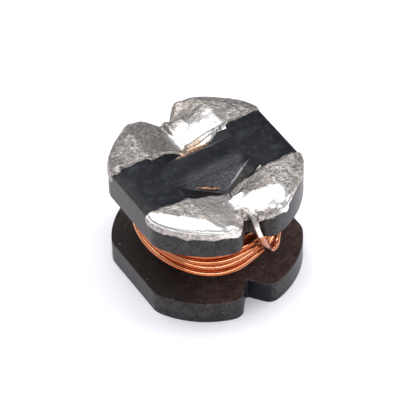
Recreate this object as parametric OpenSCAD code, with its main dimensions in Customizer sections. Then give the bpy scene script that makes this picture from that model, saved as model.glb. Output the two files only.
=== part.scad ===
// Open drum-core surface-mount power inductor, terminal side up.
// +Z up, origin at the middle of the plain flange's outer face.
// Y runs from notch to notch, X across the two flats.

/* [Drum core] */
// Diameter of both flanges
flange_d = 7.7; // [7.3:0.1:8.6]
// Width of both flanges across their flats
flats_w = 6.9; // [6.2:0.1:7.1]
// Height of the core from flange face to flange face
core_h = 5.1; // [4.7:0.1:6.5]
// Thickness of the plain flange
plain_flange_t = 1.05; // [0.7:0.05:1.3]
// Thickness of the flange that carries the terminals
terminal_flange_t = 1.4; // [1.1:0.05:1.7]
// Diameter of the post that the wire is wound on
post_d = 3.5; // [2.8:0.1:3.6]
// Radius where a flat runs into the round rim
flat_corner_r = 0.8; // [0.4:0.1:1.2]
// Width of the small chamfer along the rims
rim_chamfer = 0.08; // [0.04:0.02:0.16]

/* [Rim notches] */
// How far a notch reaches in from the rim
notch_depth = 0.87; // [0.75:0.01:1]
// Width of a notch at its root
notch_root_w = 0.12; // [0.1:0.02:0.3]
// Angle between a notch wall and the Y axis, in degrees
notch_angle = 38; // [34:1:42]
// Radius where a notch wall runs into the rim
notch_corner_r = 0.5; // [0.3:0.05:0.6]

/* [Wire grooves] */
// Width of a groove across its two slopes
groove_w = 3.4; // [2.8:0.1:3.8]
// Depth of a groove along its valley
groove_depth = 0.6; // [0.4:0.05:0.7]
// Width of the flat strip left between the two grooves
groove_gap = 1.29; // [1:0.01:1.5]
// Length of the slope that closes the inner end of a groove
groove_end_run = 0.75; // [0.5:0.05:0.9]

/* [Terminals] */
// Distance between the two terminals across the bare strip
terminal_gap = 2.9; // [2.8:0.05:3.4]
// Thickness of a terminal on the flange face
terminal_t = 0.08; // [0.04:0.01:0.12]
// Thickness of a terminal where it wraps over the rim
wrap_t = 0.05; // [0.03:0.01:0.08]
// How far a terminal comes down the rim
wrap_h = 0.45; // [0.25:0.05:0.7]
// Height of the solder that fills a valley over the terminal
solder_fill = 0.3; // [0.26:0.02:0.36]
// Height of the solder under the wire
solder_under = 0.05; // [0.03:0.01:0.08]

/* [Winding] */
// Diameter of the wire with its enamel
wire_d = 0.28; // [0.2:0.01:0.3]
// Gap between the wire and what it lies on or beside
wire_gap = 0.02; // [0.01:0.01:0.04]
// Number of layers on the post
layers = 4; // [3:1:4]
// How much higher each layer starts than the one below it
layer_low_step = 0.18; // [0.05:0.01:0.24]
// How much lower each layer ends than the one below it
layer_high_step = 0.1; // [0.05:0.01:0.2]
// Direction in which the finish lead leaves the winding, in degrees
finish_angle = 300; // [290:5:320]
// Height at which the finish lead leaves the winding
finish_z = 2.35; // [2:0.05:2.7]
// How far a lead stands off the root of its notch
lead_stand = 0.33; // [0.24:0.01:0.36]
// Height at which the outermost layer starts
outer_low = 2.02; // [1.8:0.02:2.2]
// How far the outermost layer sags at its loose side
outer_sag = 0.44; // [0:0.02:0.48]
// How far the outermost layer bulges at its loose side
outer_bulge = 0.08; // [0:0.02:0.16]
// Direction of the loose side, in degrees
loose_side = 245; // [200:5:260]

/* [Hidden] */

// Smoothness of the round faces
$fn = 96;
// Sides of the swept wire, and its rings in one turn
wire_sides = 6;
turn_rings = 18;
// How far cutting shapes run past what they cut
past = 1;
// Keeps a rounding cylinder from meeting its wall at a bare tangent
corner_lap = 0.004;

flange_r = flange_d / 2;
flat_x = flats_w / 2;
post_r = post_d / 2;
wire_r = wire_d / 2;
strip_y = groove_gap / 2;
valley_y = strip_y + groove_end_run;
valley_z = core_h - groove_depth;
notch_root_y = flange_r - notch_depth;
pad_y = terminal_gap / 2;
window_top = core_h - terminal_flange_t;

// Height of the wire's middle along a valley, with solder under it
lead_z = valley_z + terminal_t + solder_under + (wire_r + wire_gap / 2) * norm([groove_w / 2, groove_depth])
         / (groove_w / 2);
// Where the wire ends, short of the slope that closes the groove
lead_tip_y = valley_y - groove_end_run * (lead_z - wire_r - valley_z) / groove_depth + wire_gap;

function unit(v) = v / norm(v);
function polar(r, a) = [r * cos(a), r * sin(a)];

// Where the centre of a rounding circle of radius r lies: it touches the rim of
// radius big_r from inside and stands r away from the line through p along d.
function rounding_centre(big_r, r, p, d) =
    let (n = [-d.y, d.x],
         q = p + r * n,
         b = q * d,
         c = q * q - (big_r - r) * (big_r - r))
    q + d * (-b + sqrt(b * b - c));

// ---- Flange outline ----

// Takes off the sharp corner outside a rounding circle at c, between the
// directions a0 and a1.
module corner_cut(c, r, a0, a1) {
    reach = r + past;
    difference() {
        polygon([c, c + polar(reach, a0), c + polar(2 * reach, (a0 + a1) / 2), c + polar(reach, a1)]);
        translate(c) circle(r = r + corner_lap);
    }
}

// The notch at the -Y end of an outline of radius big_r. grow narrows it.
module notch_cut(big_r, grow = 0) {
    root = [notch_root_w / 2, -(notch_root_y + grow)] - [grow, 0] / cos(notch_angle)
           + [grow * tan(notch_angle), 0];
    d = [sin(notch_angle), -cos(notch_angle)];
    mouth = root + d * (notch_depth + past) / cos(notch_angle);
    c = rounding_centre(big_r, notch_corner_r, root, d);
    polygon([root, mouth, [-mouth.x, mouth.y], [-root.x, root.y]]);
    for (side = [0, 1])
        mirror([side, 0])
            corner_cut(c, notch_corner_r, notch_angle - 180, atan2(c.y, c.x));
}

// Round rim, two flats, two notches. grow thickens all but the flats.
module flange_outline(grow = 0) {
    big_r = flange_r + grow;
    c = [flat_x - flat_corner_r,
         sqrt(pow(big_r - flat_corner_r, 2) - pow(flat_x - flat_corner_r, 2))];
    difference() {
        intersection() {
            circle(r = big_r);
            square([flats_w, 2 * big_r + past], center = true);
        }
        for (sx = [0, 1], sy = [0, 1])
            mirror([sx, 0]) mirror([0, sy]) {
                corner_cut(c, flat_corner_r, 0, atan2(c.y, c.x));
            }
        for (end = [0, 1])
            mirror([0, end]) notch_cut(big_r, grow);
    }
}

// ---- Core ----

// A band of half width r and height t with its two rims chamfered
module chamfered_profile(r, t, chamfer) {
    polygon([[0, 0], [r - chamfer, 0], [r, chamfer], [r, t - chamfer], [r - chamfer, t], [0, t]]);
}

module flange(t) {
    intersection() {
        linear_extrude(t) flange_outline();
        rotate_extrude() chamfered_profile(flange_r, t, rim_chamfer);
        rotate([90, 0, 0])
            linear_extrude(2 * flange_d, center = true)
                for (side = [0, 1]) mirror([side, 0]) chamfered_profile(flat_x, t, rim_chamfer);
    }
}

// The V groove at the -Y end, from its sloped inner end out past the rim
module groove_cut() {
    slope = groove_depth / (groove_w / 2);
    top_w = groove_w + 2 * past / slope;
    intersection() {
        translate([0, 0, valley_z])
            rotate([90, 0, 0])
                linear_extrude(flange_d)
                    polygon([[0, 0], [top_w / 2, groove_depth + past], [-top_w / 2, groove_depth + past]]);
        translate([0, -valley_y, valley_z])
            rotate([90, 0, 90])
                linear_extrude(2 * flange_d, center = true)
                    polygon([[0, 0],
                             [groove_end_run * (1 + past / groove_depth), groove_depth + past],
                             [-flange_d, groove_depth + past],
                             [-flange_d, 0]]);
    }
}

module drum_core() {
    color([0.17, 0.17, 0.18])
    difference() {
        union() {
            flange(plain_flange_t);
            translate([0, 0, plain_flange_t / 2])
                cylinder(r = post_r, h = core_h - (plain_flange_t + terminal_flange_t) / 2);
            translate([0, 0, window_top]) flange(terminal_flange_t);
        }
        for (end = [0, 1]) mirror([0, end, 0]) groove_cut();
    }
}

// ---- Terminals ----

// The coat on the -Y end of the terminal flange: over its face, down into the
// groove and over the rim and the notch walls.
module terminal() {
    difference() {
        union() {
            translate([0, 0, core_h - wrap_h])
                linear_extrude(wrap_h + terminal_t)
                    intersection() {
                        flange_outline(wrap_t);
                        translate([-flange_d / 2, -flange_d - pad_y]) square(flange_d);
                    }
            translate([-groove_w / 2, wrap_t - notch_root_y, valley_z - terminal_t])
                cube([groove_w, notch_root_y - wrap_t - pad_y, groove_depth]);
        }
        translate([0, 0, terminal_t]) groove_cut();
        drum_core();
    }
}

// Solder that fills the valley round the wire
module solder_joint() {
    difference() {
        intersection() {
            translate([0, 0, terminal_t]) groove_cut();
            translate([-flange_d / 2, -notch_root_y, 0])
                cube([flange_d, notch_root_y - pad_y, valley_z + terminal_t + solder_fill]);
        }
        translate([0, 0, lead_z])
            rotate([90, 0, 0]) cylinder(r = wire_r + wire_gap / 2, h = flange_d, $fn = 24);
    }
}

module front_terminal() {
    color([0.78, 0.78, 0.77]) terminal();
}

module rear_terminal() {
    color([0.78, 0.78, 0.77]) mirror([0, 1, 0]) terminal();
}

module front_solder_joint() {
    color([0.86, 0.86, 0.86]) solder_joint();
}

module rear_solder_joint() {
    color([0.86, 0.86, 0.86]) mirror([0, 1, 0]) solder_joint();
}

// ---- Winding ----

// Distance from turn to turn and from layer to layer
pitch = wire_d + wire_gap;
// How far the straight sides between rings cut inside the round
ring_sag = (post_r + wire_r) * (1 - cos(180 / turn_rings));
first_r = post_r + wire_r + wire_gap + ring_sag;
top_z = window_top - wire_r - wire_gap;
low_z = plain_flange_t + wire_r + wire_gap;
// Share of a turn that stays level where one layer hands over to the next
level_share = 0.05;
// Share of a turn in which the wire climbs to the next layer
climb_share = 0.125;
// Share of a turn in which it then rises to the height of that layer
rise_share = 0.4;

function layer_r(k) = first_r + k * pitch;
// The layers over the first stay clear of the start lead under the flange
function outermost(k) = k == layers - 1;
function layer_low(k) = outermost(k) ? outer_low : low_z + k * layer_low_step;
function layer_high(k) = k == 0 ? top_z : top_z - pitch - (outermost(k) ? 0 : k - 1) * layer_high_step;
function goes_down(k) = k % 2 == 0;
function layer_start(k) = goes_down(k) ? layer_high(k) : layer_low(k);
function layer_end(k) = goes_down(k) ? layer_low(k) : outermost(k) ? layer_high(k) : layer_start(k + 1);
function layer_turns(k) = floor(abs(layer_end(k) - layer_start(k)) / pitch);

function unit_step(u) = let (v = min(1, max(0, u))) v * v * (3 - 2 * v);
// How loose the outermost layer lies at angle a, from 0 to 1
function looseness(a) = pow(max(0, cos(a - loose_side)), 4);
// How far below its own layer the wire still is as it comes up from the one before
function rise_left(k, t) =
    k == 0 || goes_down(k) ? 0 : (layer_start(k) - layer_end(k - 1)) * (1 - unit_step(t / rise_share));

// A point of layer k after t of its n turns, clockwise seen from above
function turn_point(k, t) =
    let (n = layer_turns(k),
         a = 90 - 360 * t,
         loose = outermost(k) ? looseness(a) : 0,
         r = layer_r(k) + pitch * unit_step((t - n) / climb_share + (outermost(k) ? 0 : 1))
             + loose * outer_bulge,
         climbed = min(1, max(0, (t - level_share) / (n - 2 * level_share))),
         z = layer_start(k) + (layer_end(k) - layer_start(k)) * climbed - rise_left(k, t)
             - loose * outer_sag)
    [r * cos(a), r * sin(a), z];

// After its whole turns, the outermost layer runs on to where the finish lead
// leaves it, over the outside of the turns before.
last_turns = layer_turns(layers - 1);
finish_turns = (450 - finish_angle) / 360;
function finish_point(t) =
    let (p = turn_point(layers - 1, last_turns + t))
    [p.x, p.y, p.z + (finish_z - p.z) * unit_step((t - climb_share) / (finish_turns - climb_share))];

coil_points = concat(
    [for (k = [0 : layers - 1], i = [(k == 0 ? 1 : 0) : layer_turns(k) * turn_rings - 1])
        turn_point(k, i / turn_rings)],
    [for (i = [0 : floor(finish_turns * turn_rings)]) finish_point(i / turn_rings)]
);

// Where a lead runs through its notch
drop_y = notch_root_y + wrap_t + lead_stand + wire_r;
bend_r = wire_d;

// A quarter bend in the YZ plane about (y, z), from angle a0 to a1
function bend(y, z, a0, a1) =
    [for (s = [0 : 3]) let (a = a0 + (a1 - a0) * s / 3) [0, y + bend_r * cos(a), z + bend_r * sin(a)]];

// A smooth run from p0 to p3 that sets out towards p1 and arrives from p2
function run(p0, p1, p2, p3, n) =
    [for (i = [1 : n - 1]) let (t = i / n, u = 1 - t)
        u * u * u * p0 + 3 * u * u * t * p1 + 3 * u * t * t * p2 + t * t * t * p3];

// From the tip in the rear groove over the rear notch to the post
start_lead = concat(
    [[0, lead_tip_y, lead_z]],
    bend(drop_y - bend_r, lead_z - bend_r, 90, 0),
    bend(drop_y - bend_r, top_z + bend_r, 0, -90),
    [[0, first_r + bend_r, top_z], [bend_r / 4, first_r + bend_r / 4, top_z]]
);

// From the outermost turn up through the front notch to the tip in the groove
coil_end = coil_points[len(coil_points) - 1];
coil_heading = unit([coil_end.y, -coil_end.x, 0]);
finish_top = [0, -drop_y, lead_z - bend_r];
finish_lead = concat(
    run(coil_end, coil_end + coil_heading * 3.5 * wire_d,
        finish_top + [wire_d / 2, -wire_d / 2, window_top - finish_top.z - 2 * wire_d], finish_top, 8),
    bend(-drop_y + bend_r, lead_z - bend_r, 180, 90),
    [[0, -lead_tip_y, lead_z]]
);

wire_route = concat(start_lead, coil_points, finish_lead);

// A tube of radius r along route, as one closed solid
module tube(route, r, sides) {
    n = len(route);
    dirs = [for (i = [0 : n - 1]) unit(route[min(i + 1, n - 1)] - route[max(i - 1, 0)])];
    ups = [for (i = 0, u = [1, 0, 0];
                i < n;
                u = let (d = dirs[min(i + 1, n - 1)]) unit(u - (u * d) * d), i = i + 1) u];
    points = [for (i = [0 : n - 1], s = [0 : sides - 1])
                  let (a = s * 360 / sides)
                  route[i] + r * (cos(a) * ups[i] + sin(a) * cross(dirs[i], ups[i]))];
    walls = [for (i = [0 : n - 2], s = [0 : sides - 1])
                 let (a = i * sides + s, b = i * sides + (s + 1) % sides)
                 [a, a + sides, b + sides, b]];
    caps = [[for (s = [0 : sides - 1]) s], [for (s = [sides - 1 : -1 : 0]) (n - 1) * sides + s]];
    polyhedron(points, concat(walls, caps));
}

module winding() {
    color([0.78, 0.42, 0.22]) tube(wire_route, wire_r, wire_sides);
}

drum_core();
winding();
front_terminal();
rear_terminal();
front_solder_joint();
rear_solder_joint();
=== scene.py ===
"""Looks of the open drum-core power inductor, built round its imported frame."""

import math

import bmesh
import bpy
from mathutils import Matrix, Vector, noise


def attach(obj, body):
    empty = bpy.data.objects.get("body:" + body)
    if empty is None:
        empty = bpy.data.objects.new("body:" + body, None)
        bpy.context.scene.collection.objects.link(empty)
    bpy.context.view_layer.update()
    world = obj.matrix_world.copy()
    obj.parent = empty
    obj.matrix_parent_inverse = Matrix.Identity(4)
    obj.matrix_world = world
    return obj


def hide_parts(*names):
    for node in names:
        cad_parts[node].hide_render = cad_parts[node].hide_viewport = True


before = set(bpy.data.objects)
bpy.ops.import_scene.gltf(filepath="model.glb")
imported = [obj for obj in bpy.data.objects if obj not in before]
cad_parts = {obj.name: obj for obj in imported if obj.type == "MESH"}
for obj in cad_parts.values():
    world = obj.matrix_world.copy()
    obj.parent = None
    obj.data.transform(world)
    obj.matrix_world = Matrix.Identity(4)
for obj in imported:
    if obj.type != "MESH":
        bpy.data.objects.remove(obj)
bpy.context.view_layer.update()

# Sizes are in millimetres. Every piece is modelled in millimetres and brought
# to metres when it is finished.
MM = 0.001
# Places closer together than this are the same place.
NEAR = 0.01
# How far a cutting shape runs past what it cuts.
PAST = 1.0

# Drum core. The terminal flange's face falls away outside |y| = SHOULDER_Y.
FLANGE_R = 3.85
FLAT_X = 3.45
FLAT_CORNER_R = 0.8
CORE_H = 5.1
PLAIN_T = 1.05
WINDOW_TOP = 3.7
POST_R = 1.75
EDGE_R = 0.06
SHOULDER_W = 0.42
SHOULDER_DROP = 0.10
SHOULDER_Y = 1.2
RIM_ROUND = 0.14

# Notches. NOTCH_TURN is the turn from the rim into a notch's wall.
ROOT_W = 0.12
ROOT_Y = 2.98
NOTCH_ANGLE = math.radians(38)
NOTCH_TURN = math.radians(62.4)
NOTCH_CORNER_R = 0.5

# Grooves, each with a sloped inner end.
GROOVE_W = 3.4
GROOVE_DEPTH = 0.6
VALLEY_Y = 1.395
VALLEY_Z = CORE_H - GROOVE_DEPTH
END_RUN = 0.75
INNER_END_Y = VALLEY_Y - END_RUN
INNER_END_ROUND = 0.32

# Solder coats: the block they are made from, its roundings, and how thick the
# solder is all over, at the notch corners and in the lumps and pools.
COAT_LOW = 4.2
COAT_INNER_Y = 0.9
BRINK_ROUND = 0.22
SLOPE_ROUND = 0.5
COAT_SINK = 0.06
COAT_T = 0.16
CORNER_T = 0.1
LUMP_T = 0.25
REAR_COAT_SHARE = 0.78

# Wire, and the height of its middle where it lies in a groove.
WIRE_R = 0.14
LEAD_Z = 4.66


# ---- Modelling tools ----


def only(piece):
    """Makes a piece the one that is selected and active."""
    if bpy.context.mode != "OBJECT":
        bpy.ops.object.mode_set(mode="OBJECT")
    bpy.ops.object.select_all(action="DESELECT")
    piece.select_set(True)
    bpy.context.view_layer.objects.active = piece


def start_edit(piece):
    only(piece)
    bpy.ops.object.mode_set(mode="EDIT")
    bpy.ops.mesh.select_mode(type="VERT")
    bpy.ops.mesh.select_all(action="DESELECT")


def end_edit():
    bpy.ops.object.mode_set(mode="OBJECT")


def pick(piece, by, test):
    """Selects the vertices, edges or faces that pass a test."""
    bpy.ops.mesh.select_mode(type=by)
    bpy.ops.mesh.select_all(action="DESELECT")
    shape = bmesh.from_edit_mesh(piece.data)
    for part in {"VERT": shape.verts, "EDGE": shape.edges, "FACE": shape.faces}[by]:
        if test(part):
            part.select_set(True)
    shape.select_flush_mode()
    bmesh.update_edit_mesh(piece.data)


def resize_all(piece, size):
    """Stretches a whole mesh about its middle."""
    start_edit(piece)
    bpy.ops.mesh.select_all(action="SELECT")
    bpy.ops.transform.resize(value=size)


def cut_off(place, outwards):
    """Cuts the whole mesh at a plane, drops what lies outwards and closes the cut."""
    bpy.ops.mesh.select_all(action="SELECT")
    bpy.ops.mesh.bisect(
        plane_co=place, plane_no=outwards, use_fill=True, clear_outer=True, threshold=1e-5
    )


def middle(edge):
    return sum((v.co for v in edge.verts), Vector()) / len(edge.verts)


def vertical(edge):
    run = edge.verts[1].co - edge.verts[0].co
    return abs(run.z) > 0.99 * run.length


def modify(piece, kind, **settings):
    """Puts a modifier on a piece and applies it."""
    only(piece)
    modifier = piece.modifiers.new(kind.lower(), kind)
    for key, value in settings.items():
        setattr(modifier, key, value)
    bpy.ops.object.modifier_apply(modifier=modifier.name)


def combine(piece, tool, operation="DIFFERENCE"):
    modify(piece, "BOOLEAN", object=tool, operation=operation, solver="EXACT")
    bpy.data.objects.remove(tool)


def finish_piece(piece, finish, nodes):
    """Brings a piece to metres, gives it its finish and lets it stand for nodes."""
    only(piece)
    piece.data.transform(Matrix.Scale(MM, 4))
    piece.data.materials.clear()
    piece.data.materials.append(finish)
    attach(piece, "root")
    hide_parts(*nodes)


# ---- Drum core ----


def notch_tool(end, low, high):
    """The wedge that cuts a notch at one end."""
    reach = 2.0
    bpy.ops.mesh.primitive_cube_add(size=1, location=(0, end * (ROOT_Y + reach / 2), (low + high) / 2))
    tool = bpy.context.active_object
    resize_all(tool, (ROOT_W, reach, high - low + 2 * PAST))
    pick(tool, "FACE", lambda f: f.normal.y * end > 0.9)
    mouth_w = ROOT_W + 2 * reach * math.tan(NOTCH_ANGLE)
    bpy.ops.transform.resize(value=(mouth_w / ROOT_W, 1, 1))
    end_edit()
    return tool


def groove_tool(end, further=0.0, deeper=0.0):
    """The wedge that cuts a groove at one end, with its sloped inner end."""
    height = GROOVE_DEPTH + PAST
    reach = 4.0
    bpy.ops.mesh.primitive_cube_add(
        size=1, location=(0, end * (VALLEY_Y + further + reach / 2), VALLEY_Z - deeper + height / 2)
    )
    tool = bpy.context.active_object
    resize_all(tool, (GROOVE_W * height / GROOVE_DEPTH, reach, height))
    pick(tool, "FACE", lambda f: f.normal.z < -0.9)
    bpy.ops.transform.resize(value=(0, 1, 1))
    bpy.ops.mesh.select_all(action="SELECT")
    bpy.ops.mesh.remove_doubles(threshold=0.001)

    def top_inner(v):
        return abs(v.co.z - height / 2) < NEAR and abs(v.co.y + end * reach / 2) < NEAR

    pick(tool, "EDGE", lambda e: all(top_inner(v) for v in e.verts))
    bpy.ops.transform.translate(value=(0, -end * END_RUN * height / GROOVE_DEPTH, 0))
    end_edit()
    return tool


def round_corners(plate, sharp, turn, radius, segments):
    """Rounds upright edges of one turn, once the fine facets beside them are gone."""
    offset = radius * math.tan(turn / 2)
    start_edit(plate)
    shape = bmesh.from_edit_mesh(plate.data)
    corners = [middle(e).xy for e in shape.edges if vertical(e) and sharp(e)]

    def crowded(edge):
        return (
            vertical(edge)
            and edge.calc_face_angle(0) < math.radians(5)
            and any((middle(edge).xy - at).length < 1.2 * offset + 0.03 for at in corners)
        )

    pick(plate, "EDGE", crowded)
    bpy.ops.mesh.dissolve_edges(use_verts=True)
    pick(plate, "EDGE", lambda e: vertical(e) and sharp(e))
    bpy.ops.mesh.bevel(offset=offset, segments=segments, affect="EDGES")
    end_edit()


def flange(name, low, high):
    """Round plate with two flats and two notches."""
    bpy.ops.mesh.primitive_cylinder_add(
        vertices=144, radius=FLANGE_R, depth=high - low, location=(0, 0, (low + high) / 2)
    )
    plate = bpy.context.active_object
    plate.name = name
    bpy.ops.object.transform_apply(location=True, rotation=True, scale=True)
    start_edit(plate)
    for side in (1, -1):
        cut_off((side * FLAT_X, 0, 0), (side, 0, 0))
    end_edit()
    flat_turn = math.acos(FLAT_X / FLANGE_R)
    round_corners(plate, lambda e: e.calc_face_angle(0) > 0.7 * flat_turn, flat_turn, FLAT_CORNER_R, 6)
    for end in (1, -1):
        combine(plate, notch_tool(end, low, high))

    def notch_corner(edge):
        return edge.calc_face_angle(0) > 0.7 and abs(middle(edge).y) > FLANGE_R - 0.3

    round_corners(plate, notch_corner, NOTCH_TURN, NOTCH_CORNER_R, 8)
    return plate


def terminal_flange(name, low):
    """Upper flange with its fallen shoulder and a groove at each end."""
    plate = flange(name, low, CORE_H)
    start_edit(plate)
    pick(plate, "FACE", lambda f: f.normal.z > 0.9)
    bpy.ops.mesh.inset(thickness=SHOULDER_W, use_boundary=True)
    rim = [v.co.xy.copy() for v in bmesh.from_edit_mesh(plate.data).verts if v.co.z < low + NEAR]

    def on_shoulder(v):
        outside = v.co.z > CORE_H - NEAR and abs(v.co.y) > SHOULDER_Y
        return outside and any((v.co.xy - at).length < NEAR for at in rim)

    pick(plate, "VERT", on_shoulder)
    bpy.ops.transform.translate(value=(0, 0, -SHOULDER_DROP))
    pick(plate, "EDGE", lambda e: all(abs(v.co.z - CORE_H + SHOULDER_DROP) < NEAR for v in e.verts))
    bpy.ops.mesh.bevel(offset=RIM_ROUND, segments=3, affect="EDGES", clamp_overlap=True)
    end_edit()
    for end in (1, -1):
        combine(plate, groove_tool(end))
    return plate


def make_core():
    core = flange("drum_core_body", 0, PLAIN_T)
    top = terminal_flange("upper_flange", WINDOW_TOP)
    # Under the solder the grooves are cut deeper, clear of the coats' undersides.
    for end in (1, -1):
        combine(top, groove_tool(end, further=0.6, deeper=0.07))

    def inner_end(v):
        return v.co.z > CORE_H - NEAR and abs(abs(v.co.y) - INNER_END_Y) < NEAR

    start_edit(top)
    pick(top, "EDGE", lambda e: all(inner_end(v) for v in e.verts))
    bpy.ops.mesh.bevel(offset=INNER_END_ROUND, segments=5, affect="EDGES")
    end_edit()
    # The post's ends are sunk into both flanges.
    low, high = 0.5, 4.3
    bpy.ops.mesh.primitive_cylinder_add(
        vertices=96, radius=POST_R, depth=high - low, location=(0, 0, (low + high) / 2)
    )
    post = bpy.context.active_object
    combine(core, post, "UNION")
    combine(core, top, "UNION")
    modify(
        core,
        "BEVEL",
        width=EDGE_R,
        segments=2,
        limit_method="ANGLE",
        angle_limit=math.radians(24),
        use_clamp_overlap=True,
    )
    only(core)
    bpy.ops.object.shade_smooth_by_angle(angle=math.radians(30))
    modify(core, "WEIGHTED_NORMAL", keep_sharp=True)
    return core


# ---- Solder-coated terminals ----


def blend_step(value, low, high):
    """Smooth step from 0 to 1 between two levels."""
    t = min(1.0, max(0.0, (value - low) / (high - low)))
    return t * t * (3 - 2 * t)


def along(table, at):
    """Value of a table of (place, value) rows at a place, in straight steps."""
    for (a, va), (b, vb) in zip(table, table[1:]):
        if at <= b:
            return va + (vb - va) * max(0.0, (at - a)) / (b - a)
    return table[-1][1]


def ragged(place, scale, seed):
    """Unevenness about 0 that wanders over the part."""
    return noise.fractal(Vector(place) * scale + Vector((seed, 0, 0)), 1.0, 2.0, 3)


def pool_depth(end, x, reach):
    """How much solder stands in a groove, from 0 to 1, at |y| = reach."""
    across = blend_step(x, -0.45, 0.15) * (1 - 0.85 * blend_step(x, 0.7, 2.0))
    if end < 0:
        return across * blend_step(reach, 1.4, 2.5) * (1 - blend_step(reach, 3.3, 3.9))
    return across * blend_step(reach, 1.3, 1.5) * (1 - blend_step(reach, 2.0, 3.5))


def soften_coat(coat):
    """Rounds the brink at the rim and the long edges where the groove slopes meet the face."""

    def brink(e):
        low, high = VALLEY_Z + 0.04, CORE_H - 0.12
        steep = not vertical(e) and e.calc_face_angle(0) > 1.0
        return steep and low < middle(e).z < high and abs(middle(e).y) > 3.0

    def slope_edge(e):
        bent = not vertical(e) and math.radians(16) < e.calc_face_angle(0) < math.radians(26)
        level = all(f.normal.z > 0.8 for f in e.link_faces)
        return bent and level and middle(e).z > 4.8 and abs(middle(e).x) > 1.2

    start_edit(coat)
    pick(coat, "EDGE", brink)
    bpy.ops.mesh.bevel(offset=BRINK_ROUND, segments=4, affect="EDGES")
    pick(coat, "EDGE", slope_edge)
    bpy.ops.mesh.bevel(offset=SLOPE_ROUND, segments=6, affect="EDGES", clamp_overlap=True)
    end_edit()


def weigh_coat(coat, end, inner_edge, lower_edge, lumps):
    """Says where the coat has solder, where it is thick, and its sharp notch corners."""
    groups = {key: coat.vertex_groups.new(name=key) for key in ("coated", "thick", "corner")}
    for v in coat.data.vertices:
        x, y, z = v.co
        wobble = 0.06 * ragged(v.co, 2.2, 3) + 0.04 * ragged(v.co, 8, 11)
        weight = blend_step(y * end - along(inner_edge, x) + wobble, -0.04, 0.05)
        if v.normal.z < 0.6:
            drips = 0.09 * ragged((x, y, 0), 2.5, 20) + 0.06 * ragged((x, y, 0), 8, 31)
            weight = 0.8 * min(weight, blend_step(z - along(lower_edge, x) + drips, -0.04, 0.05))
        thick = sum(h * math.exp(-(((v.co - Vector(c)).length / r) ** 2)) for c, r, h in lumps)
        if v.normal.z > 0.6:
            thick += 0.8 * pool_depth(end, x, abs(y))
        # The rear coat has no sharp corner on the notch's left side.
        from_corner = math.hypot(abs(x) - 0.9, abs(y) - 3.62) + (1 if end > 0 and x < 0 else 0)
        corner = math.exp(-((from_corner / 0.22) ** 2))
        groups["coated"].add([v.index], weight * (REAR_COAT_SHARE if end > 0 else 1), "REPLACE")
        groups["thick"].add([v.index], min(1.0, thick) * weight, "REPLACE")
        groups["corner"].add([v.index], weight * corner, "REPLACE")


def terminal_coat(name, end, inner_edge, lower_edge, lumps):
    """Solder coat over one half of the terminal flange.

    inner_edge gives |y| of the coat's edge on the face along x, lower_edge the
    height of its edge round the rim along x, and lumps are (centre, radius,
    height) of the thicker places.
    """
    coat = terminal_flange(name, COAT_LOW)
    start_edit(coat)
    cut_off((0, end * COAT_INNER_Y, 0), (0, -end, 0))
    end_edit()
    soften_coat(coat)
    modify(coat, "REMESH", mode="VOXEL", voxel_size=0.05)
    weigh_coat(coat, end, inner_edge, lower_edge, lumps)
    modify(coat, "DISPLACE", mid_level=0.0, strength=-COAT_SINK)
    modify(coat, "DISPLACE", mid_level=0.0, strength=COAT_T, vertex_group="coated")
    modify(coat, "DISPLACE", mid_level=0.0, strength=CORNER_T, vertex_group="corner")
    for grain, depth in ((0.9, 0.05), (0.2, 0.02)):
        swell = bpy.data.textures.new(name + "_swell", "CLOUDS")
        swell.noise_scale = grain
        modify(
            coat,
            "DISPLACE",
            texture=swell,
            texture_coords="LOCAL",
            mid_level=0.5,
            strength=depth,
            vertex_group="coated",
        )
    modify(coat, "DISPLACE", mid_level=0.0, strength=LUMP_T, direction="Z", vertex_group="thick")
    return coat


def solder_fill(end, near, far):
    """Wedge of solder that fills the groove beside the wire, lowest along the wire."""
    left, right, low, high = -0.25, 0.6, 4.4, LEAD_Z
    bpy.ops.mesh.primitive_cube_add(
        size=1, location=((left + right) / 2, end * (near + far) / 2, (low + high) / 2)
    )
    fill = bpy.context.active_object
    resize_all(fill, (right - left, far - near, high - low))
    end_edit()
    bpy.ops.object.transform_apply(location=True, rotation=True, scale=True)
    start_edit(fill)
    bpy.ops.mesh.select_all(action="SELECT")
    bpy.ops.mesh.bisect(plane_co=(0, 0, 0), plane_no=(1, 0, 0))
    for at, rise in ((0, 0.14), (right, 0.30)):
        pick(fill, "VERT", lambda v: v.co.z > high - 0.06 and abs(v.co.x - at) < NEAR)
        bpy.ops.transform.translate(value=(0, 0, rise))
    end_edit()
    return fill


def tube(name, points, radii):
    """Closed round tube through points, with its radius at each."""
    line = bpy.data.curves.new(name, "CURVE")
    line.dimensions = "3D"
    spline = line.splines.new("NURBS")
    spline.points.add(len(points) - 1)
    for point, place, radius in zip(spline.points, points, radii):
        point.co = (*place, 1)
        point.radius = radius / WIRE_R
    spline.order_u = 3
    spline.use_endpoint_u = True
    spline.resolution_u = 2
    line.bevel_depth = WIRE_R
    line.bevel_resolution = 4
    line.use_fill_caps = True
    piece = bpy.data.objects.new(name, line)
    bpy.context.scene.collection.objects.link(piece)
    only(piece)
    bpy.ops.object.convert(target="MESH")
    piece = bpy.context.active_object
    start_edit(piece)
    bpy.ops.mesh.select_all(action="SELECT")
    bpy.ops.mesh.remove_doubles(threshold=0.0005)
    bpy.ops.mesh.normals_make_consistent(inside=False)
    end_edit()
    return piece


def bead(place, size):
    """Drop of solder of its own width, depth and height."""
    bpy.ops.mesh.primitive_uv_sphere_add(segments=20, ring_count=10, radius=1, location=place)
    drop = bpy.context.active_object
    resize_all(drop, size)
    end_edit()
    return drop


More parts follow.
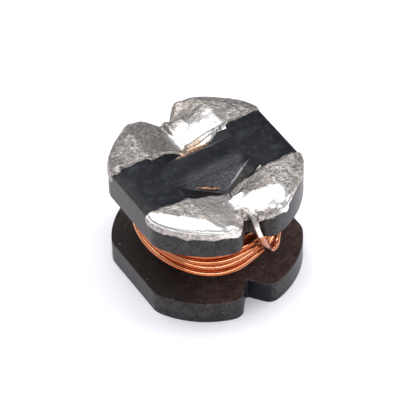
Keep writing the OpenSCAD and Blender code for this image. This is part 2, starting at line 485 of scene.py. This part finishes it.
def add_joint(coat, parts):
    """Joins the solder round a wire end to a coat and lets all of it flow together."""
    only(coat)
    for part in parts:
        part.select_set(True)
    bpy.ops.object.join()
    modify(coat, "REMESH", mode="VOXEL", voxel_size=0.045)
    modify(coat, "SMOOTH", factor=0.5, iterations=3)
    only(coat)
    bpy.ops.object.shade_smooth()


# Inner edge, lower edge and lumps of each coat, as terminal_coat reads them,
# and the (place, size) of the beads of solder on it.
FRONT_COAT = (
    (
        (-3.5, 1.2),
        (-2.8, 1.25),
        (-2.4, 1.34),
        (-1.7, 1.37),
        (-1.5, 1.46),
        (1.4, 1.45),
        (3.4, 1.41),
    ),
    (
        (-3.5, 4.62),
        (-1.0, 4.6),
        (-0.6, 4.62),
        (0.6, 4.6),
        (1.25, 4.74),
        (1.36, 4.58),
        (1.48, 4.6),
        (1.58, 4.9),
        (2.4, 4.95),
        (3.0, 4.98),
        (3.5, 5.0),
    ),
    (
        ((-2.4, -2.4, 5.1), 0.8, 0.05),
        ((-1.2, -2.6, 4.95), 0.7, 0.25),
        ((-1.0, -3.72, 4.95), 0.35, 0.35),
        ((0.95, -3.72, 4.88), 0.3, 0.3),
    ),
)
REAR_COAT = (
    (
        (-3.5, 1.40),
        (-1.6, 1.43),
        (-0.7, 1.42),
        (-0.3, 1.22),
        (0.1, 1.12),
        (0.6, 1.10),
        (1.0, 1.18),
        (1.6, 1.41),
        (3.4, 1.45),
    ),
    ((-3.5, 4.6), (0, 4.6), (3.5, 4.65)),
    (((-3.1, 1.5, 5.1), 0.35, 0.4), ((1.0, 3.72, 4.9), 0.3, 0.1)),
)
FRONT_BEADS = (
    ((-0.47, -2.05, 4.76), (0.07, 0.07, 0.06)),
    ((-0.24, -2.88, 4.78), (0.12, 0.12, 0.14)),
    ((-0.13, -3.03, 4.64), (0.09, 0.06, 0.06)),
    ((0.40, -3.42, 4.64), (0.14, 0.14, 0.08)),
)
REAR_BEADS = (((-3.2, 1.38, 5.08), (0.16, 0.14, 0.13)),)


def front_joint():
    """Solder round the front wire end, with a neck down the lead, an arm and a spur."""
    neck = tube(
        "front_neck",
        (
            (0.0, -2.5, 4.66),
            (0.08, -2.9, 4.70),
            (0.16, -3.24, 4.70),
            (0.13, -3.44, 4.56),
            (0.15, -3.54, 4.3),
            (0.24, -3.56, 4.0),
        ),
        (0.15, 0.17, 0.18, 0.15, 0.12, 0.09),
    )
    arm = tube(
        "front_arm",
        ((-0.25, -2.85, 4.72), (-0.1, -3.06, 4.66), (0.12, -3.2, 4.68)),
        (0.08, 0.06, 0.08),
    )
    spur = tube(
        "front_spur",
        ((0.16, -1.58, 4.72), (0.12, -1.75, 4.72), (0.08, -2.1, 4.66)),
        (0.03, 0.08, 0.17),
    )
    return [solder_fill(-1, 1.95, 3.05), neck, arm, spur] + [bead(*b) for b in FRONT_BEADS]


def rear_joint():
    """Solder round the rear wire end, with a neck down the lead."""
    neck = tube(
        "rear_neck",
        ((0.0, 2.3, 4.62), (0.0, 2.7, 4.66), (0.0, 3.02, 4.66), (0.0, 3.16, 4.5), (0.0, 3.18, 4.2)),
        (0.2, 0.2, 0.18, 0.16, 0.13),
    )
    return [solder_fill(1, 1.55, 2.85), neck] + [bead(*b) for b in REAR_BEADS]


# ---- Winding ----

PITCH = 0.3
# Degrees between two points of the wire's route round the post.
RING_STEP = 10
FIRST_R = POST_R + WIRE_R + 0.05
TOP_Z = WINDOW_TOP - WIRE_R - 0.02
LOW_Z = PLAIN_T + WIRE_R + 0.02
# Turns of the hidden layers. The first turns back LOW_STEP above its lowest
# place, and the second HIGH_STEP more than a turn below the upper flange.
INNER_TURNS = (7, 5, 4)
LOW_STEP = 0.18
HIGH_STEP = 0.1
# Where the rear lead comes down its notch, and where both wire ends stop.
REAR_DROP_Y = 3.18
REAR_BEND_R = 0.2
TIP_Y = 2.6
# How much the front lead thins where it was pulled up its notch.
LEAD_THINNING = 0.035

# Height of each turn of the loose outer layer, clockwise from the back, and its radius.
OUTER_ANGLES = (90, 30, 0, -30, -60, -73, -90, -106, -124, -143, -161, -180, -220, -270)
OUTER_ROWS = (
    (2.10, 2.15, 2.20, 2.20, 2.22, 2.20, 1.95, 1.77, 1.79, 1.95, 2.08, 2.18, 2.28, 2.36),
    (2.36, 2.40, 2.42, 2.42, 2.40, 2.38, 2.22, 2.05, 2.05, 2.22, 2.36, 2.44, 2.54, 2.62),
    (2.62, 2.66, 2.68, 2.66, 2.62, 2.60, 2.50, 2.38, 2.36, 2.46, 2.58, 2.68, 2.80, 2.88),
    (2.88, 2.92, 2.94, 2.92, 2.88, 2.84, 2.78, 2.70, 2.66, 2.74, 2.84, 2.94, 3.02, 3.06),
)
OUTER_R = (2.92, 2.84, 2.88, 2.82)
# The loose turns are pressed in round this direction, this much and this widely.
PRESSED_ANGLE, PRESSED_IN, PRESSED_WIDTH = -180, 0.08, 42

# The front lead from the last turn, through its hook and up the notch to its tip.
FRONT_LEAD = (
    (2.90, -0.90, 3.10),
    (2.62, -1.55, 3.08),
    (2.32, -2.05, 3.02),
    (1.93, -2.48, 2.90),
    (1.53, -2.82, 2.72),
    (1.38, -3.00, 2.56),
    (1.35, -3.04, 2.40),
    (1.26, -3.05, 2.27),
    (1.13, -3.06, 2.22),
    (0.99, -3.12, 2.32),
    (0.85, -3.21, 2.52),
    (0.71, -3.33, 2.84),
    (0.57, -3.43, 3.11),
    (0.44, -3.50, 3.40),
    (0.33, -3.55, 3.69),
    (0.24, -3.56, 3.99),
    (0.15, -3.54, 4.32),
    (0.12, -3.46, 4.56),
    (0.15, -3.26, 4.72),
    (0.12, -2.98, 4.72),
    (0.04, -2.80, LEAD_Z),
    (0, -TIP_Y, LEAD_Z - 0.03),
)

# Flattened ends of the wire that lie bare on the grooves' inner ends: points and radii.
WIRE_TAILS = (
    (
        (
            (-0.75, 1.03, 4.79),
            (-0.45, 0.98, 4.84),
            (-0.10, 0.96, 4.82),
            (0.25, 0.98, 4.84),
            (0.55, 1.02, 4.82),
            (0.90, 1.12, 4.82),
        ),
        (0.02, 0.07, 0.09, 0.09, 0.07, 0.02),
    ),
    (
        (
            (-0.98, -0.88, 4.90),
            (-0.72, -0.97, 4.83),
            (-0.50, -1.05, 4.77),
            (-0.25, -1.15, 4.69),
            (-0.05, -1.22, 4.63),
        ),
        (0.02, 0.07, 0.09, 0.08, 0.03),
    ),
)


def smooth_along(xs, ys, at):
    """Smooth curve through points, at a place between them."""
    n = len(xs)
    for i in range(n - 1):
        if (at - xs[i]) * (at - xs[i + 1]) <= 0:
            t = (at - xs[i]) / (xs[i + 1] - xs[i])
            a, b = ys[max(i - 1, 0)], ys[i]
            c, d = ys[i + 1], ys[min(i + 2, n - 1)]
            square = 2 * a - 5 * b + 4 * c - d
            cube = 3 * b - a - 3 * c + d
            return 0.5 * (2 * b + (c - a) * t + square * t * t + cube * t**3)
    return ys[-1]


def inner_layers():
    """Radius, angle and height of the wire in the hidden layers, down, up and down again."""
    low, high = LOW_Z + LOW_STEP, TOP_Z - PITCH - HIGH_STEP
    starts, ends = (TOP_Z, low, high), (low, high, OUTER_ROWS[0][0])
    for k, count in enumerate(INNER_TURNS):
        steps = count * 360 // RING_STEP
        for i in range(steps):
            climb = blend_step(i * RING_STEP, (count - 0.125) * 360, count * 360)
            share = min(1, max(0, (i / steps - 0.01) / 0.98))
            z = starts[k] + (ends[k] - starts[k]) * share
            yield FIRST_R + PITCH * (k + climb), 90 - i * RING_STEP, z


def outer_layer():
    """Radius, angle and height of the wire in the loose turns and where it leaves them."""
    for row, heights in enumerate(OUTER_ROWS):
        after = OUTER_R[min(row + 1, len(OUTER_R) - 1)]
        for i in range(360 // RING_STEP):
            angle = 90 - i * RING_STEP
            r = OUTER_R[row] + (after - OUTER_R[row]) * blend_step(i * RING_STEP, 300, 360)
            r -= PRESSED_IN * math.exp(-(((angle - PRESSED_ANGLE) / PRESSED_WIDTH) ** 2))
            yield r, angle, smooth_along(OUTER_ANGLES, heights, angle)
    for i in range(10):
        out = blend_step(i, 0, 8)
        yield OUTER_R[-1] + 0.2 * out, 90 - i * RING_STEP, OUTER_ROWS[-1][-1] + 0.06 * out


def bend(y, z, start, end, radius):
    """Points of a bend in the plane x = 0, about (y, z), from one angle to another."""
    turn = [math.radians(start + (end - start) * i / 4) for i in range(5)]
    return [Vector((0, y + radius * math.cos(a), z + radius * math.sin(a))) for a in turn]


def wire_route():
    """Points of the whole wire, from the rear groove round the post to the front groove."""
    r = REAR_BEND_R
    route = [Vector((0, TIP_Y, LEAD_Z))]
    route += bend(REAR_DROP_Y - r, LEAD_Z - r, 90, 0, r)
    route += bend(REAR_DROP_Y - r, TOP_Z + r, 0, -90, r)
    route += [Vector((0, FIRST_R + r, TOP_Z))]
    for layer in (inner_layers(), outer_layer()):
        for radius, angle, z in layer:
            a = math.radians(angle)
            route.append(Vector((radius * math.cos(a), radius * math.sin(a), z)))
    return route + [Vector(p) for p in FRONT_LEAD]


def make_winding(name):
    """Lays a round wire along its route as one tube."""
    route = wire_route()
    lead = [WIRE_R - LEAD_THINNING * blend_step(i, 12, 17) for i in range(len(FRONT_LEAD))]
    winding = tube(name, route, [WIRE_R] * (len(route) - len(lead)) + lead)
    tails = [tube(name + "_tail", points, radii) for points, radii in WIRE_TAILS]
    only(winding)
    for tail in tails:
        tail.select_set(True)
    bpy.ops.object.join()
    bpy.ops.object.shade_smooth_by_angle(angle=math.radians(50))
    return winding


# ---- Finishes ----


class Value:
    """Socket of a finish that takes part in Python expressions."""

    def __init__(self, finish, socket):
        self.finish, self.socket = finish, socket

    def math(self, operation, *others):
        return self.finish.node("Math", {"operation": operation}, dict(enumerate((self,) + others)))

    def __abs__(self):
        return self.math("ABSOLUTE")

    def __add__(self, other):
        return self.math("ADD", other)

    def __mul__(self, other):
        return self.math("MULTIPLY", other)

    def __sub__(self, other):
        return self.math("SUBTRACT", other)

    def __rsub__(self, other):
        return self.finish.node("Math", {"operation": "SUBTRACT"}, {0: other, 1: self})

    __radd__, __rmul__ = __add__, __mul__


class Finish:
    """Node tree of one finish, or of the sky."""

    def __init__(self, name, library=None):
        self.material = (bpy.data.materials if library is None else library).new(name)
        self.material.use_nodes = True
        self.tree = self.material.node_tree
        self.tree.nodes.clear()
        self.place = self.node("TexCoord", out="Object")

    def node(self, kind, settings=None, inputs=None, out=0):
        """Adds a node, sets it up, links or fills its sockets, and returns an output."""
        made = self.tree.nodes.new("ShaderNode" + kind)
        for key, value in (settings or {}).items():
            setattr(made, key, value)
        for key, value in (inputs or {}).items():
            if isinstance(value, Value):
                self.tree.links.new(value.socket, made.inputs[key])
            else:
                made.inputs[key].default_value = value
        return Value(self, made.outputs[out]) if made.outputs else None

    def parts(self, vector):
        """The x, y and z of a vector."""
        return [self.node("SeparateXYZ", None, {0: vector}, out=axis) for axis in range(3)]

    def stretched(self, *scale):
        """The place on the part, squeezed along its axes."""
        return self.node("VectorMath", {"operation": "MULTIPLY"}, {0: self.place, 1: scale})

    def noise(self, scale, detail=4, rough=0.55, where=None):
        """Noise from 0 to 1 with a scale in patches per millimetre."""
        return self.node(
            "TexNoise",
            None,
            {"Vector": where or self.place, "Scale": scale / MM, "Detail": detail, "Roughness": rough},
        )

    def mask(self, value, low, high, to_low=0.0, to_high=1.0):
        """Smooth step of a value between two levels."""
        return self.node(
            "MapRange",
            {"interpolation_type": "SMOOTHSTEP"},
            {"Value": value, "From Min": low, "From Max": high, "To Min": to_low, "To Max": to_high},
        )

    def past(self, value, start, full):
        """0 before a length in millimetres and 1 past another, in either direction."""
        return self.mask(value, start * MM, full * MM)

    def between(self, value, low, high, soft):
        """1 between two lengths in millimetres, fading over soft on both sides."""
        return self.past(value, low - soft, low) * self.past(value, high + soft, high)

    def mix(self, factor, low, high):
        """Colour between two colours."""
        return self.node("Mix", {"data_type": "RGBA"}, {0: factor, 6: low, 7: high}, out=2)

    def bump(self, height, strength, distance, under=None, keen=None):
        """Relief of a height, fading where keen does."""
        if keen:
            height = (height - 0.5) * keen
        inputs = {"Height": height, "Strength": strength, "Distance": distance * MM}
        if under:
            inputs["Normal"] = under
        return self.node("Bump", None, inputs)

    def surface(self, **inputs):
        shader = self.node("BsdfPrincipled", None, {k.replace("_", " "): v for k, v in inputs.items()})
        self.node("OutputMaterial", None, {"Surface": shader})
        return self.material


def rgb(red, green, blue):
    return (red, green, blue, 1.0)


def ferrite_walls(f, base, mottle, gritty):
    """Flats and rims painted lighter, as lit from the bright table, the flats warmer in tone; painted
    shade in the notches.
    """
    x, y, z = f.parts(f.place)
    # Painted light: the flat walls lighter and warmer, as lit from the bright table.
    flat = f.past(abs(x), 3.30, 3.44) * f.past(z, 3.6, 3.8)
    warm_lit_flat = f.mix(f.mask(mottle, 0.35, 0.65), rgb(0.050, 0.042, 0.040), rgb(0.092, 0.079, 0.076))
    base = f.mix(flat * 0.8, base, warm_lit_flat)
    # Painted sheen: the outer walls and the lower flange a lighter gritty grey, as lit from the bright
    # table.
    radius = (x * x + y * y).math("SQRT")
    rim = f.past(radius, 3.72, 3.80).math("MAXIMUM", f.past(z, 0.99, 0.95))
    rim_grit_and_sheen = f.mix(f.mask(gritty, 0.42, 0.60), rgb(0.022, 0.020, 0.021), rgb(0.074, 0.068, 0.070))
    base = f.mix(rim * 0.8, base, rim_grit_and_sheen)
    notch = f.past(abs(x), 0.9, 0.7) * f.past(abs(y), 2.8, 2.95)
    shade = f.mix(f.past(z, 2, 3), rgb(0.008, 0.010, 0.015), rgb(0.045, 0.034, 0.031))
    return f.mix(notch * f.past(radius, 3.80, 3.70), base, shade)


def groove_inner_ends(f, base, mottle):
    """Bare inner ends of the grooves painted paler as lit, the slopes beside them with a painted shadow
    wedge, a painted sheen across the strip and a painted highlight on a ridge.
    """
    x, y, z = f.parts(f.place)
    streak = f.noise(6, 5, 0.7, f.stretched(1.0, 5.0, 1.0))
    bare = f.past(z, 5.08, 4.88) * f.past(abs(y), 1.7, 1.5)
    bare = bare * f.past(z, 4.3, 4.4) * f.past(abs(x), 1.8, 1.2)
    # Beyond this line an inner end gives way to the slopes of its groove.
    beyond = abs(x) * END_RUN + abs(y) * (GROOVE_W / 2) - GROOVE_W / 2 * VALLEY_Y * MM
    slope = f.past(beyond, 0.0, 0.06)
    # Painted shadow: a near-black wedge on the slope left of each inner end.
    wedge = slope * f.past(x, 0.1, -0.2)
    slope = slope * f.past(x, -0.1, 0.1)
    # Painted sheen: the bare inner ends pale and streaked, as lit.
    pale = f.mix(f.mask(streak, 0.35, 0.7), rgb(0.030, 0.030, 0.036), rgb(0.15, 0.15, 0.16))
    olive = f.mix(f.mask(mottle, 0.4, 0.6), rgb(0.012, 0.011, 0.012), rgb(0.050, 0.046, 0.040))
    dark = f.mix(f.past(y, -0.1, 0.1), olive, rgb(0.010, 0.011, 0.014))
    side = f.past(x + y * 0.4, -1.1, 0.1)
    base = f.mix(bare * side.math("MAXIMUM", slope), base, f.mix(slope, pale, dark))
    base = f.mix(bare * wedge, base, rgb(0.004, 0.004, 0.005))
    # Painted sheen: a paler streaked patch across the front of the strip and down its groove's inner end.
    drift = (f.noise(1.6, 5, 0.65) - 0.5) * (0.9 * MM)
    sheen_patch = f.past(y + drift, -0.05, -0.5) * f.past(y + drift, -1.35, -1.2)
    sheen_patch = sheen_patch * f.past(x - y * 0.9 + drift, -1.2, -0.4) * f.past(x + drift, 1.5, 1.1)
    sheen_patch = sheen_patch * f.past(z, 4.4, 4.5) * (1 - slope) * (1 - wedge)
    sheen_streaks = f.mix(f.mask(streak, 0.35, 0.65), rgb(0.045, 0.045, 0.055), rgb(0.17, 0.17, 0.185))
    base = f.mix(sheen_patch * 0.46, base, sheen_streaks)
    # Painted highlight: a whitish ridge where a groove's slope meets its inner end.
    ridge = f.past(abs(beyond + (f.noise(2.5, 4) - 0.5) * (0.16 * MM)), 0.10, 0.02)
    ridge = ridge * bare * f.past(x, 0.2, 0.5) * f.past(y, 0, -0.1)
    return f.mix(ridge * f.mask(f.noise(7, 5, 0.7), 0.38, 0.55), base, rgb(0.42, 0.42, 0.46))


def stained_and_shaded_flange(f, base, gritty, inner_face):
    """Brown inner face of the lower flange, painted darker on its left as shade, its worn edge and pale
    specks.
    """
    x, _, z = f.parts(f.place)
    brown = f.mix(f.mask(gritty, 0.40, 0.60), rgb(0.043, 0.026, 0.023), rgb(0.092, 0.062, 0.056))
    base = f.mix(inner_face, base, brown)
    # Painted shade on the left part of the inner face.
    base = f.mix(inner_face * f.past(x, -1.5, -2.7) * 0.72, base, rgb(0.012, 0.011, 0.011))
    worn = f.between(z, 1.0, 1.035, 0.012) * f.mask(f.noise(4, 4), 0.35, 0.6)
    base = f.mix(worn * 0.6, base, rgb(0.10, 0.095, 0.09))
    specks = f.node("TexVoronoi", {"feature": "F1"}, {"Vector": f.place, "Scale": 2.3 / MM})
    speck = f.mask(specks, 0.12, 0.06) * f.mask(f.noise(1.7, 2), 0.46, 0.52) * f.past(z, 1.6, 1.2)
    return f.mix(speck * 0.45, base, rgb(0.30, 0.29, 0.28))


def ferrite_finish():
    """Dark navy ferrite as it comes from the press and the kiln."""
    f = Finish("sintered_ferrite")
    z = f.parts(f.place)[2]
    grain = f.noise(9, 6, 0.6)
    mottle = f.noise(3.2, 6, 0.7)
    gritty = (grain + mottle) * 0.5
    inner_face = f.between(z, 0.98, 1.3, 0.03)
    base = f.mix(f.mask(f.noise(0.9, 3), 0.35, 0.65), rgb(0.006, 0.007, 0.0095), rgb(0.014, 0.015, 0.019))
    base = f.mix(f.mask(mottle, 0.47, 0.68) * 0.7, base, rgb(0.036, 0.039, 0.054))
    base = ferrite_walls(f, base, mottle, gritty)
    base = groove_inner_ends(f, base, mottle)
    base = stained_and_shaded_flange(f, base, gritty, inner_face)
    rough = f.mask(mottle, 0.3, 0.7, 0.27, 0.38) + inner_face * 0.3
    normal = f.bump(grain, 0.35, 0.02)
    normal = f.bump(mottle, 0.35, 0.05, normal)
    return f.surface(Base_Color=base, Roughness=rough, Normal=normal, Specular_IOR_Level=0.18)


def solder_finish():
    """Solder-dipped tin, mottled and matt, with a smooth pool in each groove, painted light and shade on
    the front pad and a painted highlight at its rim.
    """
    f = Finish("dipped_solder")
    x, y, z = f.parts(f.place)
    across = abs(y)
    front, rear = f.past(y, 0, -0.1), f.past(y, 0, 0.1)
    edge = (f.noise(1.4, 5, 0.7) - 0.5) * (1.3 * MM)
    grain = f.noise(8, 8, 0.75)
    patch = f.noise(2.0, 5, 0.7)
    colour = f.mix(f.mask(grain, 0.40, 0.62), rgb(0.20, 0.182, 0.166), rgb(0.86, 0.79, 0.75))
    colour = f.mix(f.mask(patch, 0.48, 0.62) * 0.55, colour, rgb(0.27, 0.24, 0.212))
    # The pool between its inner and its outer edge.
    climb = f.past(x, 0.2, 0.5) * (0.5 * MM) + x.math("MAXIMUM", 0.45 * MM) * 0.35
    inner = front * (climb + 0.45 * MM) + 1.1 * MM
    outer = front * (x * 0.95 + 0.15 * MM) + 2.5 * MM
    pool = f.past(x + edge, -0.55, -0.20) * f.past(x + edge, 2.0, 1.6)
    pool = pool * f.past(across + edge * 0.5 - outer, 0.25, -0.15)
    pool = pool * f.past(across + edge * 0.5 - inner, -0.1, 0.15)
    colour = f.mix(pool * 0.8, colour, rgb(0.94, 0.92, 0.905))
    # Painted light and shade on the front pad: a paler left slope, and a darker left flat and inner part
    # of the right slope.
    left = front * f.past(x, -0.2, -0.5) * f.past(x, -1.9, -1.4)
    colour = f.mix(left * 0.55, colour, rgb(0.99, 0.93, 0.88))
    flat = front * f.past(x, -1.5, -1.9)
    shaded_slope = f.past(x, -0.2, 0.1) * f.past(x, 1.9, 1.5) * front
    shaded_slope = shaded_slope * f.past(across + edge * 0.5 - inner, 0.1, -0.1)
    colour = f.mix(flat * 0.35 + shaded_slope * 0.6, colour, rgb(0.22, 0.20, 0.184))
    # Painted highlight: a pale lens along the front rim's shoulder, where the solder is also smoother,
    # and the clean neck on the lead.
    chord = x * 0.69 + y * 0.725 + edge * 0.12
    lens = front * f.past(chord, -3.20, -3.32) * f.past(z, 4.93, 5.0)
    colour = f.mix(lens * 0.85, colour, rgb(0.95, 0.92, 0.90))
    neck = front * f.past(across, 3.30, 3.42) * f.past(z, 4.55, 4.35)
    colour = f.mix(neck * 0.8, colour, rgb(0.95, 0.91, 0.87))
    # Flux-stained wire under thin solder at the rear pool's inner edge.
    tan = rear * f.past(x + edge * 0.3, -0.6, -0.3) * f.past(x + edge * 0.3, 0.9, 0.4)
    tan = tan * f.past(across + edge * 0.2, 1.62, 1.38)
    flux = f.mix(f.mask(patch, 0.4, 0.6), rgb(0.30, 0.16, 0.08), rgb(0.62, 0.42, 0.27))
    colour = f.mix(tan * 0.85, colour, flux)
    colour = f.mix(rear * 0.4, colour, rgb(0.22, 0.20, 0.18))
    clean = pool.math("MAXIMUM", lens)
    rough = f.mask(grain, 0.3, 0.7, 0.42, 0.26) * (1 - clean * 0.25)
    keen = 1 - clean * 0.7
    normal = f.bump(f.noise(12, 6, 0.7), 0.6, 0.03, keen=keen)
    normal = f.bump(f.noise(3.4, 5, 0.65), 0.6, 0.08, normal, keen=keen)
    return f.surface(Base_Color=colour, Metallic=1.0, Roughness=rough, Normal=normal)


def copper_finish():
    """Clear enamel over bright copper, tinned where it was soldered, with painted shade under the turns.
    """
    f = Finish("enamelled_copper")
    x, y, z = f.parts(f.place)
    colour = f.mix(f.mask(f.noise(1.5, 3), 0.35, 0.65), rgb(0.89, 0.32, 0.13), rgb(0.98, 0.46, 0.23))
    # Painted shade: deeper colour on the undersides of the turns.
    upright = f.parts(f.node("TexCoord", out="Normal"))[2]
    colour = f.mix(f.mask(upright, 0.62, 0.32) * 0.85, colour, rgb(0.36, 0.065, 0.015))
    # Burnt tails on the grooves' inner ends.
    stain = f.past(z, 4.4, 4.5) * f.past(abs(y), 1.5, 1.4)
    burnt = f.mix(f.mask(f.noise(8, 4, 0.7), 0.42, 0.58), rgb(0.10, 0.06, 0.045), rgb(0.56, 0.34, 0.22))
    colour = f.mix(stain, colour, burnt)
    # Duller front lead, tinned higher up.
    front = f.past(y, -2.95, -3.05)
    lead = front * f.past(x, 1.7, 1.6)
    colour = f.mix(lead * 0.7, colour, rgb(0.48, 0.19, 0.11))
    tinned = front * f.past(z + (f.noise(3, 3) - 0.5) * (0.6 * MM), 3.75, 4.0)
    colour = f.mix(tinned, colour, rgb(0.97, 0.95, 0.92))
    rough = f.mask(f.noise(4, 4), 0.3, 0.7, 0.12, 0.19) + stain * 0.25
    return f.surface(
        Base_Color=colour,
        Metallic=1.0,
        Roughness=rough,
        Normal=f.bump(f.noise(6, 3), 0.02, 0.03),
        Coat_Weight=0.3,
        Coat_Roughness=0.1,
    )


# ---- The inductor ----

# The loaded solids come selected, and operators act on all that is selected.
only(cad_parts["drum_core"])
bpy.ops.object.select_all(action="DESELECT")

ferrite = ferrite_finish()
solder = solder_finish()
copper = copper_finish()

finish_piece(make_core(), ferrite, ["drum_core"])

for side, end, tables, joint in (
    ("front", -1, FRONT_COAT, front_joint()),
    ("rear", 1, REAR_COAT, rear_joint()),
):
    coat = terminal_coat(side + "_terminal_coat", end, *tables)
    add_joint(coat, joint)
    finish_piece(coat, solder, [side + "_terminal", side + "_solder_joint"])

finish_piece(make_winding("copper_winding"), copper, ["winding"])


# ---- Table, light and camera ----

# Places from here on are in metres. The table's painted shadow, where its glow fades, has its own middle.
SHADOW_MIDDLE = Vector((-1.2, 1.1, 0)) * MM
CAMERA_AZIMUTH = math.radians(-120.806)
CAMERA_ELEVATION = math.radians(44.969)
CAMERA_ROLL = math.radians(-1.177)
CAMERA_DISTANCE = 0.12
CAMERA_TARGET = Vector((0, 0, 0.0025))


def make_table():
    """Pale table that glows for camera and glossy rays, the glow fading under the part into a painted
    shadow.
    """
    f = Finish("pale_table")
    bpy.ops.object.select_all(action="DESELECT")
    bpy.ops.mesh.primitive_plane_add(size=0.6)
    table = bpy.context.active_object
    table.name = "table_top"
    seen = f.node("LightPath", out="Is Camera Ray")
    for ray in ("Is Glossy Ray", "Is Transmission Ray"):
        seen = seen.math("MAXIMUM", f.node("LightPath", out=ray))
    offset = f.node("VectorMath", {"operation": "SUBTRACT"}, {0: f.place, 1: SHADOW_MIDDLE})
    away = f.node("VectorMath", {"operation": "LENGTH"}, {0: offset}, out="Value")
    # Painted shadow: the glow is weakest near the part.
    glow_over_shadow = f.mask(away, 3.8 * MM, 7.4 * MM, 0.15, 0.5)
    diffuse = f.node("BsdfDiffuse", None, {"Color": rgb(0.90, 0.885, 0.92)})
    glow = f.node("Emission", None, {"Color": rgb(0.97, 0.95, 1), "Strength": seen * glow_over_shadow})
    both = f.node("AddShader", None, {0: diffuse, 1: glow})
    f.node("OutputMaterial", None, {"Surface": both})
    table.data.materials.append(f.material)


def softbox(name, place, size, radiance, flat=False):
    """Area lamp of a given radiance that faces the part, or straight down."""
    data = bpy.data.lights.new(name, "AREA")
    data.shape = "RECTANGLE"
    data.size, data.size_y = size
    data.energy = radiance * math.pi * size[0] * size[1]
    lamp = bpy.data.objects.new(name, data)
    bpy.context.scene.collection.objects.link(lamp)
    lamp.location = place
    if not flat:
        target = Vector((0, 0, 0.003))
        lamp.rotation_euler = (target - Vector(place)).to_track_quat("-Z", "Y").to_euler()


def make_sky():
    """Soft white sky that is dimmer towards the horizon."""
    f = Finish("studio", bpy.data.worlds)
    height = f.parts(f.node("TexCoord", out="Generated"))[2]
    strength = f.mask(height, 0.1, 0.75, 0.26, 0.50)
    light = f.node("Background", None, {"Color": rgb(0.93, 0.95, 1.0), "Strength": strength})
    f.node("OutputWorld", None, {"Surface": light})
    bpy.context.scene.world = f.material


def make_camera():
    """Long lens that looks down on the front left corner of the part."""
    back = Vector(
        (
            math.cos(CAMERA_ELEVATION) * math.cos(CAMERA_AZIMUTH),
            math.cos(CAMERA_ELEVATION) * math.sin(CAMERA_AZIMUTH),
            math.sin(CAMERA_ELEVATION),
        )
    )
    level = Vector((-math.sin(CAMERA_AZIMUTH), math.cos(CAMERA_AZIMUTH), 0))
    rise = back.cross(level)
    right = math.cos(CAMERA_ROLL) * level + math.sin(CAMERA_ROLL) * rise
    up = -math.sin(CAMERA_ROLL) * level + math.cos(CAMERA_ROLL) * rise
    data = bpy.data.cameras.new("camera")
    data.sensor_width = 36
    data.lens = 260.9256
    data.shift_x = 0.0031755
    data.shift_y = 0.0014014
    data.clip_start = 0.01
    camera = bpy.data.objects.new("camera", data)
    bpy.context.scene.collection.objects.link(camera)
    turn = Matrix((right, up, back)).transposed()
    camera.matrix_world = Matrix.Translation(CAMERA_TARGET + CAMERA_DISTANCE * back) @ turn.to_4x4()
    bpy.context.scene.camera = camera


make_table()
softbox("overhead_softbox", (-0.013, 0.032, 0.075), (0.064, 0.079), 2.8, flat=True)
softbox("overhead_wing", (0.0265, 0.015, 0.075), (0.015, 0.045), 2.2, flat=True)
softbox("front_fill", (-0.022, -0.085, 0.060), (0.13, 0.02), 3.6)
softbox("side_fill", (0.079, -0.018, 0.05), (0.066, 0.022), 3.7)
make_sky()
make_camera()
bpy.context.scene.view_settings.view_transform = "Standard"
